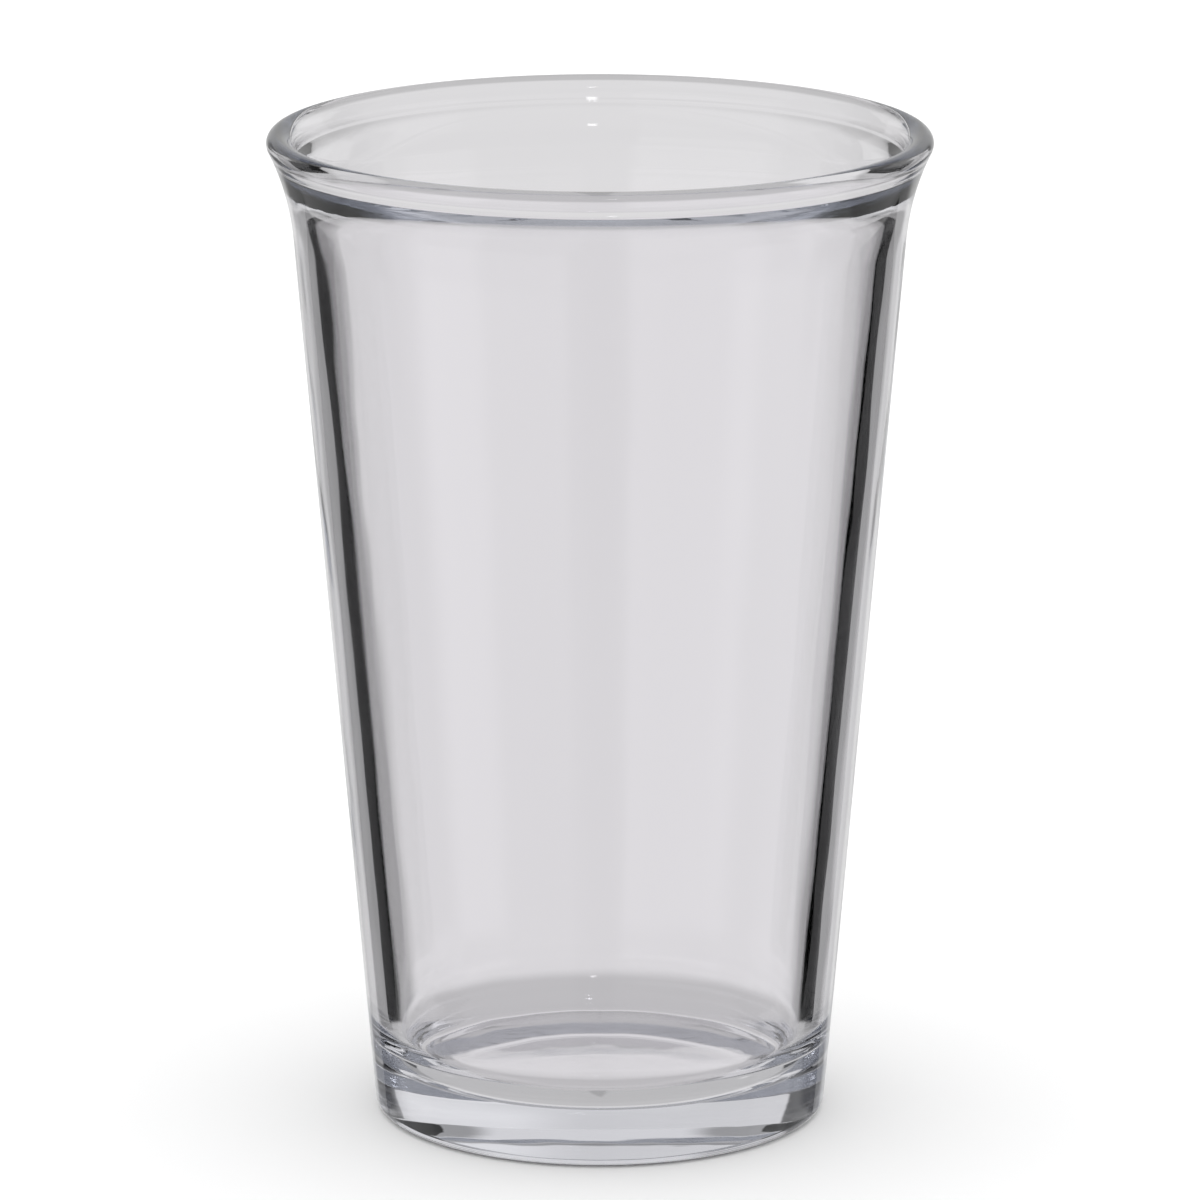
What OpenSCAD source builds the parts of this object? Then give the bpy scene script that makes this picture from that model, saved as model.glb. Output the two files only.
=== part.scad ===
// Pint glass: a one-piece tumbler of heavy pressed glass with a beaded lip, standing on its foot.
// Origin at the centre of the foot's standing plane, +Z up the axis, all sizes in millimetres.

/* [Body] */
// Overall height
glass_h = 139; // [120:1:160]
// Outside diameter across the lip
lip_d = 91.7; // [87:0.1:98]
// Outside diameter of the wall, carried down to the table
foot_d = 63; // [56:0.5:68]

/* [Wall] */
// Thickness of the wall where the outside begins to flare
wall_top = 4; // [3.4:0.1:4.6]
// Thickness of the wall at the level of the floor
wall_bottom = 4.4; // [3:0.1:5.5]

/* [Lip] */
// Radius of the sweep that turns the outside of the wall outwards to the lip
flare_r = 36; // [28:1:46]
// Lean from upright of the outside face, just under the lip, in degrees
flare_angle = 26; // [22:1:30]
// Radius of the lip's round on the outside
lip_outer_r = 1.4; // [1:0.1:1.8]
// Radius of the lip's round on the inside, where it is a bead
lip_inner_r = 2.6; // [2.2:0.1:2.8]
// How far the bead turns back under itself, in degrees
bead_undercut = 12; // [0:1:20]
// Lean from upright of the inside face, just under the bead, in degrees
neck_angle = 50; // [46:1:52]
// Radius of the hollow between the bead and the inside face
neck_r = 0.5; // [0.3:0.1:1]

/* [Base] */
// Thickness of the floor
floor_t = 6.6; // [5:0.2:12]
// Radius of the corner between the floor and the wall, inside
corner_r = 8; // [3:0.5:14]
// Radius of the outside edge of the foot
heel_r = 1.5; // [0.8:0.1:3]
// Width of the flat ring that the glass stands on
land_w = 4; // [2:0.5:8]
// Depth of the hollow under the foot, at its middle
dish_depth = 1.2; // [0.6:0.1:3]

/* [Hidden] */
$fn = 180;

// Most degrees that one straight step of an arc turns through.
arc_step = 10;

// The lip is two rounds, one outside and one inside, that meet level at the top.
lip_top = [lip_d / 2 - lip_outer_r, glass_h];
lip_outer_centre = lip_top - [0, lip_outer_r];
lip_inner_centre = lip_top - [0, lip_inner_r];

// The outside of the wall is a straight line from the foot that runs smoothly into the flare.
outer_foot = [foot_d / 2, 0];
flare_centre = lip_outer_centre + (flare_r + lip_outer_r) * ray(-flare_angle);
to_flare = flare_centre - outer_foot;
outer_lean = atan2(to_flare.x, to_flare.y) - asin(flare_r / norm(to_flare));
flare_start = flare_centre + flare_r * ray(180 - outer_lean);

// The inside of the wall is a straight line set in by the wall's two thicknesses.
inner_foot = [foot_d / 2 + floor_t * tan(outer_lean) - wall_bottom, floor_t];
to_wall_top = flare_start - [wall_top, 0] - inner_foot;
inner_lean = atan2(to_wall_top.x, to_wall_top.y);

// The hollow under the bead, and the sweep from the inside of the wall to that hollow.
neck_centre = lip_inner_centre + (lip_inner_r + neck_r) * ray(180 + bead_undercut);
neck_foot = neck_centre + neck_r * ray(-neck_angle);
mouth_r = (neck_foot - inner_foot) * ray(-inner_lean) / (1 - cos(neck_angle - inner_lean));
mouth_centre = neck_foot + mouth_r * ray(-neck_angle);

// Rounds at the two feet of the wall.
heel_centre = round_centre(outer_foot, outer_lean, heel_r);
corner_centre = round_centre(inner_foot, inner_lean, corner_r);

// The hollow under the foot is part of a sphere.
dish_r = heel_centre.x - land_w;
dish_sphere_r = (dish_r ^ 2 + dish_depth ^ 2) / (2 * dish_depth);
dish_centre = [0, dish_depth - dish_sphere_r];
dish_edge_angle = acos(dish_r / dish_sphere_r);

// Unit step in the half section's plane, at an angle counted up from level.
function ray(angle) = [cos(angle), sin(angle)];

// Centre of a round of radius r between the level line at a foot and the wall that leans from it.
function round_centre(foot, angle, r) = foot + r * [-tan(45 - angle / 2), 1];

// Points of an arc, less the first one where another arc has already ended on it.
function arc(centre, r, from, to, joined = false) =
    let (steps = 6 + ceil(abs(to - from) / arc_step))
    [for (i = [joined ? 1 : 0 : steps]) centre + r * ray(from + (to - from) * i / steps)];

// The whole glass, from the middle of the foot round the outside, over the lip and down the inside.
module tumbler() {
    color([0.86, 0.87, 0.9, 0.4])
    rotate_extrude()
    polygon(concat(
        arc(dish_centre, dish_sphere_r, 90, dish_edge_angle),
        arc(heel_centre, heel_r, -90, -outer_lean),
        arc(flare_centre, flare_r, 180 - outer_lean, 180 - flare_angle),
        arc(lip_outer_centre, lip_outer_r, -flare_angle, 90, joined = true),
        arc(lip_inner_centre, lip_inner_r, 90, 180 + bead_undercut, joined = true),
        arc(neck_centre, neck_r, bead_undercut, -neck_angle, joined = true),
        arc(mouth_centre, mouth_r, 180 - neck_angle, 180 - inner_lean, joined = true),
        arc(corner_centre, corner_r, -inner_lean, -90),
        [[0, floor_t]]
    ));
}

tumbler();
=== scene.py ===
"""A clear pint glass on a pale studio floor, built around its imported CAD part."""

import math

import bpy
import numpy as np
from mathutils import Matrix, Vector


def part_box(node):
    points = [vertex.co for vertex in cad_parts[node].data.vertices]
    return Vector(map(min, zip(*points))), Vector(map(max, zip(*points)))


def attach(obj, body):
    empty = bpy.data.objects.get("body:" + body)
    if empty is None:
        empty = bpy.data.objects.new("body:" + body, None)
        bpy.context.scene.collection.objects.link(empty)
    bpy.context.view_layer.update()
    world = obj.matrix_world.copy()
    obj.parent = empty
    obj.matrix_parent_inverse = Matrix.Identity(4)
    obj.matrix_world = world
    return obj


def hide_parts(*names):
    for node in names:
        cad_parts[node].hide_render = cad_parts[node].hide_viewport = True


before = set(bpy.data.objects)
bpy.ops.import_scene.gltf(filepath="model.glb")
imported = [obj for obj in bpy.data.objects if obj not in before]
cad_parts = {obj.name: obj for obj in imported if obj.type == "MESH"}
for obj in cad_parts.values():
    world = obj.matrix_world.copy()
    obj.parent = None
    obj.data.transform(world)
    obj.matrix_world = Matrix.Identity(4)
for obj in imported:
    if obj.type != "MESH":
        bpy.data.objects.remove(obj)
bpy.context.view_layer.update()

# --- The glass's section: the CAD part's own driving sizes, in metres --------
GLASS_LOW, GLASS_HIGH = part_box("tumbler")
HEIGHT = GLASS_HIGH.z
LIP_DIAMETER = GLASS_HIGH.x - GLASS_LOW.x
FOOT_RADIUS = 0.0315
WALL_TOP = 0.0040
WALL_BOTTOM = 0.0044
FLARE_RADIUS = 0.036
FLARE_ANGLE = math.radians(26)
LIP_OUTER_RADIUS = 0.0014
LIP_INNER_RADIUS = 0.0026
BEAD_UNDERCUT = math.radians(12)
NECK_ANGLE = math.radians(50)
NECK_RADIUS = 0.0005
FLOOR_THICKNESS = 0.0066
CORNER_RADIUS = 0.008
HEEL_RADIUS = 0.0015
LAND_WIDTH = 0.004
DISH_DEPTH = 0.0012

# How many steps each stretch of the section, and the turn around the axis, is cut into
STEPS = {
    "dish": 20, "land": 3, "heel": 10, "wall": 50, "flare": 20, "lip": 16,
    "bead": 20, "neck": 8, "mouth": 20, "corner": 16, "floor": 10,
}
AROUND = 288

# --- The glass's look ---------------------------------------------------------
GLASS_TINT = (0.992, 0.98, 0.996, 1)
GLASS_IOR = 1.52
DEPTH_TINT = (0.70, 0.73, 0.80, 1)
ABSORPTION = 8            # per metre of glass, for a colour that the depth tint lacks
RIPPLES_PER_METRE = 60
RIPPLE_STRETCH = 0.35     # below 1 the ripples are longer up the wall than around it
RIPPLE_DETAIL = 2
RIPPLE_HEIGHT = 0.00012   # metres
SMEARS_PER_METRE = 45
SMEAR_DETAIL = 4
SMEAR_START = 0.45        # noise value where the surface starts to lose its gloss
SMEAR_FULL = 0.75         # and where the smear is at its strongest
SMEAR_ROUGHNESS = 0.05


def ray(angle):
    """Unit step in the half section's plane, at an angle counted up from level."""
    return np.array([math.cos(angle), math.sin(angle)])


def arc(centre, radius, start, end, steps):
    """Points of an arc in the half section's plane, both ends included."""
    return [centre + radius * ray(a) for a in np.linspace(start, end, steps + 1)]


def line(start, end, steps):
    """Points along a straight line, both ends left out."""
    return [start + (end - start) * t for t in np.linspace(0, 1, steps + 1)[1:-1]]


def round_centre(foot, angle, radius):
    """Centre of the round between the level line at a foot and the wall leaning from it."""
    return foot + radius * np.array([-math.tan(math.pi / 4 - angle / 2), 1])


def section():
    """Half section (radius, height) from the middle of the underside to the middle of the floor."""
    lip_top = np.array([LIP_DIAMETER / 2 - LIP_OUTER_RADIUS, HEIGHT])
    outer_lip = lip_top - [0, LIP_OUTER_RADIUS]
    inner_lip = lip_top - [0, LIP_INNER_RADIUS]

    outer_foot = np.array([FOOT_RADIUS, 0])
    flare_centre = outer_lip + (FLARE_RADIUS + LIP_OUTER_RADIUS) * ray(-FLARE_ANGLE)
    to_flare = flare_centre - outer_foot
    outer_lean = math.atan2(*to_flare) - math.asin(FLARE_RADIUS / np.linalg.norm(to_flare))
    flare_start, flare_end = math.pi - outer_lean, math.pi - FLARE_ANGLE
    flare = arc(flare_centre, FLARE_RADIUS, flare_start, flare_end, STEPS["flare"])

    inner_foot = outer_foot + [FLOOR_THICKNESS * math.tan(outer_lean) - WALL_BOTTOM, FLOOR_THICKNESS]
    inner_lean = math.atan2(*(flare[0] - [WALL_TOP, 0] - inner_foot))
    neck_centre = inner_lip + (LIP_INNER_RADIUS + NECK_RADIUS) * ray(math.pi + BEAD_UNDERCUT)
    neck = arc(neck_centre, NECK_RADIUS, BEAD_UNDERCUT, -NECK_ANGLE, STEPS["neck"])
    mouth_radius = (neck[-1] - inner_foot) @ ray(-inner_lean) / (1 - math.cos(NECK_ANGLE - inner_lean))
    mouth_centre = neck[-1] + mouth_radius * ray(-NECK_ANGLE)
    mouth_start, mouth_end = math.pi - NECK_ANGLE, math.pi - inner_lean
    mouth = arc(mouth_centre, mouth_radius, mouth_start, mouth_end, STEPS["mouth"])

    heel_centre = round_centre(outer_foot, outer_lean, HEEL_RADIUS)
    heel = arc(heel_centre, HEEL_RADIUS, -math.pi / 2, -outer_lean, STEPS["heel"])
    corner_centre = round_centre(inner_foot, inner_lean, CORNER_RADIUS)
    corner = arc(corner_centre, CORNER_RADIUS, -inner_lean, -math.pi / 2, STEPS["corner"])

    dish_radius = heel_centre[0] - LAND_WIDTH
    sphere = (dish_radius ** 2 + DISH_DEPTH ** 2) / (2 * DISH_DEPTH)
    dish_centre = np.array([0, DISH_DEPTH - sphere])
    dish = arc(dish_centre, sphere, math.pi / 2, math.acos(dish_radius / sphere), STEPS["dish"])

    lip = arc(outer_lip, LIP_OUTER_RADIUS, -FLARE_ANGLE, math.pi / 2, STEPS["lip"])[1:]
    bead = arc(inner_lip, LIP_INNER_RADIUS, math.pi / 2, math.pi + BEAD_UNDERCUT, STEPS["bead"])[1:]
    floor_middle = np.array([0, FLOOR_THICKNESS])
    outside = (
        dish + line(dish[-1], heel[0], STEPS["land"])
        + heel + line(heel[-1], flare[0], STEPS["wall"])
        + flare + lip
    )
    inside = (
        bead + neck[1:] + mouth[1:] + line(mouth[-1], corner[0], STEPS["wall"])
        + corner + line(corner[-1], floor_middle, STEPS["floor"]) + [floor_middle]
    )
    return outside + inside


def lathe(name, points):
    """A closed mesh turned about the axis from a half section whose two ends lie on the axis."""
    turns = [2 * math.pi * k / AROUND for k in range(AROUND)]
    rings = points[1:-1]
    verts = [(0, 0, points[0][1])]
    for radius, height in rings:
        verts += [(radius * math.cos(t), radius * math.sin(t), height) for t in turns]
    verts.append((0, 0, points[-1][1]))
    last_ring = 1 + (len(rings) - 1) * AROUND
    faces = []
    for k in range(AROUND):
        n = (k + 1) % AROUND
        faces.append((0, 1 + n, 1 + k))
        for row in range(len(rings) - 1):
            a, b = 1 + row * AROUND, 1 + (row + 1) * AROUND
            faces.append((a + k, a + n, b + n, b + k))
        faces.append((last_ring + k, last_ring + n, len(verts) - 1))
    mesh = bpy.data.meshes.new(name)
    mesh.from_pydata(verts, [], faces)
    mesh.polygons.foreach_set("use_smooth", [True] * len(faces))
    mesh.update()
    piece = bpy.data.objects.new(name, mesh)
    bpy.context.collection.objects.link(piece)
    return piece


def glass_material():
    """Clear soda-lime glass with the faint ripples, smears and cool cast of pressed ware."""
    mat = bpy.data.materials.new("clear_glass")
    mat.use_nodes = True
    nodes, links = mat.node_tree.nodes, mat.node_tree.links
    bsdf = nodes["Principled BSDF"]
    bsdf.inputs["Base Color"].default_value = GLASS_TINT
    bsdf.inputs["IOR"].default_value = GLASS_IOR
    bsdf.inputs["Transmission Weight"].default_value = 1.0

    place = nodes.new("ShaderNodeTexCoord").outputs["Object"]
    upright = nodes.new("ShaderNodeMapping")
    upright.inputs["Scale"].default_value = (1, 1, RIPPLE_STRETCH)
    links.new(place, upright.inputs["Vector"])
    ripples = nodes.new("ShaderNodeTexNoise")
    ripples.inputs["Scale"].default_value = RIPPLES_PER_METRE
    ripples.inputs["Detail"].default_value = RIPPLE_DETAIL
    links.new(upright.outputs["Vector"], ripples.inputs["Vector"])
    bump = nodes.new("ShaderNodeBump")
    bump.inputs["Strength"].default_value = 1.0
    bump.inputs["Distance"].default_value = RIPPLE_HEIGHT
    links.new(ripples.outputs["Fac"], bump.inputs["Height"])
    links.new(bump.outputs["Normal"], bsdf.inputs["Normal"])

    smears = nodes.new("ShaderNodeTexNoise")
    smears.inputs["Scale"].default_value = SMEARS_PER_METRE
    smears.inputs["Detail"].default_value = SMEAR_DETAIL
    links.new(place, smears.inputs["Vector"])
    gloss = nodes.new("ShaderNodeMapRange")
    gloss.inputs["From Min"].default_value = SMEAR_START
    gloss.inputs["From Max"].default_value = SMEAR_FULL
    gloss.inputs["To Max"].default_value = SMEAR_ROUGHNESS
    links.new(smears.outputs["Fac"], gloss.inputs["Value"])
    links.new(gloss.outputs["Result"], bsdf.inputs["Roughness"])

    depth = nodes.new("ShaderNodeVolumeAbsorption")
    depth.inputs["Color"].default_value = DEPTH_TINT
    depth.inputs["Density"].default_value = ABSORPTION
    links.new(depth.outputs["Volume"], nodes["Material Output"].inputs["Volume"])
    return mat


glass = lathe("glass_body", section())
glass.data.materials.append(glass_material())
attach(glass, "root")
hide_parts("tumbler")


# --- Stage: floor, light and camera -------------------------------------------
FLOOR_RADIUS = 20
FLOOR_SIDES = 64
FLOOR_DROP = 0.0002       # metres below the foot, so the two faces don't flicker
FLOOR_COLOUR = (0.93, 0.93, 0.93, 1)

CAMERA_PLACE = (0, -1.108, 0.3434)
CAMERA_PITCH = 13.73      # degrees below level
CAMERA_LENS = 245.8       # mm, on the sensor width below
SENSOR_WIDTH = 36
CAMERA_REACH = 60         # metres, past the floor's far edge
LIGHT_BOUNCES = 40        # light in the rim and base meets many surfaces before it gets out

ROOM_LIGHT = 0.3          # what the glass sees between the cards
STUDIO_LIGHT = 1.4        # what the camera sees, and what lights the floor

# Lamps and dark cards around the glass, each laid over those above it. Angles are in degrees:
# azimuth of the middle (0 behind the glass, 90 to its left), width, lowest and highest elevation.
# Then how bright it is, and over how many degrees its edge fades.
CARDS = {
    "ceiling": (0, 360, 34, 100, 0.44, 4),
    "table": (0, 360, -100, 4, 0.52, 10),
    "right softbox": (-108, 36, -23, 6, 0.93, 10),
    "left softbox": (138, 66, -22, 5, 0.93, 10),
    "left softbox's upper panel": (134, 60, 9, 20, 0.59, 4),
    "gap behind the camera": (177, 20, -100, 11, 0.4, 6),
    "table's right side": (-80, 28, -41, -14, 0.8, 6),
    "table's left side": (72, 20, -38, -12, 0.68, 6),
    "tall right dark card": (-62, 28, -6, 36, 0.1, 3),
    "tall left dark card": (58, 30, -6, 36, 0.1, 3),
    "backdrop's top": (-5, 101, 8, 26, 0.7, 2),
    "backdrop's brighter right": (-32, 44, 8, 26, 0.86, 16),
    "backdrop's dim sides": (-2, 78, -23, 4, 0.34, 2),
    "table behind the glass": (-2, 44, -58, -26, 0.55, 8),
    "backdrop": (-2, 40, -28, 10, 0.76, 8),
    "right black flag": (-48, 30, -21.5, -2, 0.0, 1),
    "left black flag": (47, 24, -21.5, -2, 0.0, 1),
    "small lamp above the camera": (-176, 4, 41, 45, 9.0, 2),
}


def make_floor():
    """A wide pale floor that the camera sees and the glass doesn't."""
    bpy.ops.mesh.primitive_circle_add(
        vertices=FLOOR_SIDES, radius=FLOOR_RADIUS, fill_type="NGON", location=(0, 0, -FLOOR_DROP)
    )
    floor = bpy.context.object
    floor.name = "floor"
    mat = bpy.data.materials.new("floor")
    mat.use_nodes = True
    bsdf = mat.node_tree.nodes["Principled BSDF"]
    bsdf.inputs["Base Color"].default_value = FLOOR_COLOUR
    bsdf.inputs["Roughness"].default_value = 1.0
    bsdf.inputs["Specular IOR Level"].default_value = 0.0
    floor.data.materials.append(mat)
    floor.visible_transmission = False
    floor.visible_glossy = False


class Graph:
    """Small helper that builds chains of nodes which work on numbers."""

    def __init__(self, tree):
        self.nodes, self.links = tree.nodes, tree.links

    def math(self, operation, *values, clamp=False):
        """Output of a Math node whose inputs are the values, each a socket or a number."""
        node = self.nodes.new("ShaderNodeMath")
        node.operation = operation
        node.use_clamp = clamp
        for socket, value in zip(node.inputs, values):
            if hasattr(value, "links"):
                self.links.new(value, socket)
            else:
                socket.default_value = value
        return node.outputs[0]

    def ramp(self, value, start, end):
        """Smooth step from 0 at the start to 1 at the end, which may be the lower of the two."""
        node = self.nodes.new("ShaderNodeMapRange")
        node.interpolation_type = "SMOOTHSTEP"
        self.links.new(value, node.inputs["Value"])
        node.inputs["From Min"].default_value = start
        node.inputs["From Max"].default_value = end
        return node.outputs["Result"]


def directions(graph):
    """Azimuth and elevation of the direction looked in, in degrees."""
    coord = graph.nodes.new("ShaderNodeTexCoord")
    xyz = graph.nodes.new("ShaderNodeSeparateXYZ")
    graph.links.new(coord.outputs["Generated"], xyz.inputs[0])
    x, y, z = xyz.outputs
    azimuth = graph.math("DEGREES", graph.math("ARCTAN2", graph.math("MULTIPLY", x, -1), y))
    elevation = graph.math("DEGREES", graph.math("ARCSINE", z))
    return azimuth, elevation


def card_light(graph):
    """Brightness of the room with every card laid over it, for the direction looked in."""
    azimuth, elevation = directions(graph)
    light = ROOM_LIGHT
    for middle, width, low, high, strength, soft in CARDS.values():
        turn = graph.math("WRAP", graph.math("SUBTRACT", azimuth, middle), 180, -180)
        off = graph.math("ABSOLUTE", turn)
        side = graph.ramp(off, (width + soft) / 2, (width - soft) / 2)
        bottom = graph.ramp(elevation, low - soft / 2, low + soft / 2)
        top = graph.ramp(elevation, high + soft / 2, high - soft / 2)
        cover = graph.math("MULTIPLY", side, graph.math("MULTIPLY", bottom, top))
        change = graph.math("MULTIPLY", cover, graph.math("SUBTRACT", strength, light))
        light = graph.math("ADD", light, change)
    return light


def make_world():
    """The cards where the glass looks, and an even light for the camera and the floor."""
    world = bpy.data.worlds.new("studio")
    bpy.context.scene.world = world
    world.use_nodes = True
    graph = Graph(world.node_tree)
    path = graph.nodes.new("ShaderNodeLightPath")
    plain = graph.math("ADD", path.outputs["Is Camera Ray"], path.outputs["Is Diffuse Ray"], clamp=True)
    mix = graph.nodes.new("ShaderNodeMix")
    graph.links.new(plain, mix.inputs["Factor"])
    graph.links.new(card_light(graph), mix.inputs["A"])
    mix.inputs["B"].default_value = STUDIO_LIGHT
    background = graph.nodes["Background"]
    background.inputs["Color"].default_value = (1, 1, 1, 1)
    graph.links.new(mix.outputs["Result"], background.inputs["Strength"])


def make_camera():
    """The photo's view: a long lens in front of the glass, looking a little down at it."""
    data = bpy.data.cameras.new("camera")
    data.lens = CAMERA_LENS
    data.sensor_width = SENSOR_WIDTH
    data.clip_end = CAMERA_REACH
    camera = bpy.data.objects.new("camera", data)
    camera.location = CAMERA_PLACE
    camera.rotation_euler = (math.radians(90 - CAMERA_PITCH), 0, 0)
    bpy.context.collection.objects.link(camera)
    bpy.context.scene.camera = camera


make_floor()
make_world()
make_camera()
scene = bpy.context.scene
scene.view_settings.view_transform = "Standard"
scene.cycles.max_bounces = LIGHT_BOUNCES
scene.cycles.transmission_bounces = LIGHT_BOUNCES
scene.cycles.glossy_bounces = LIGHT_BOUNCES
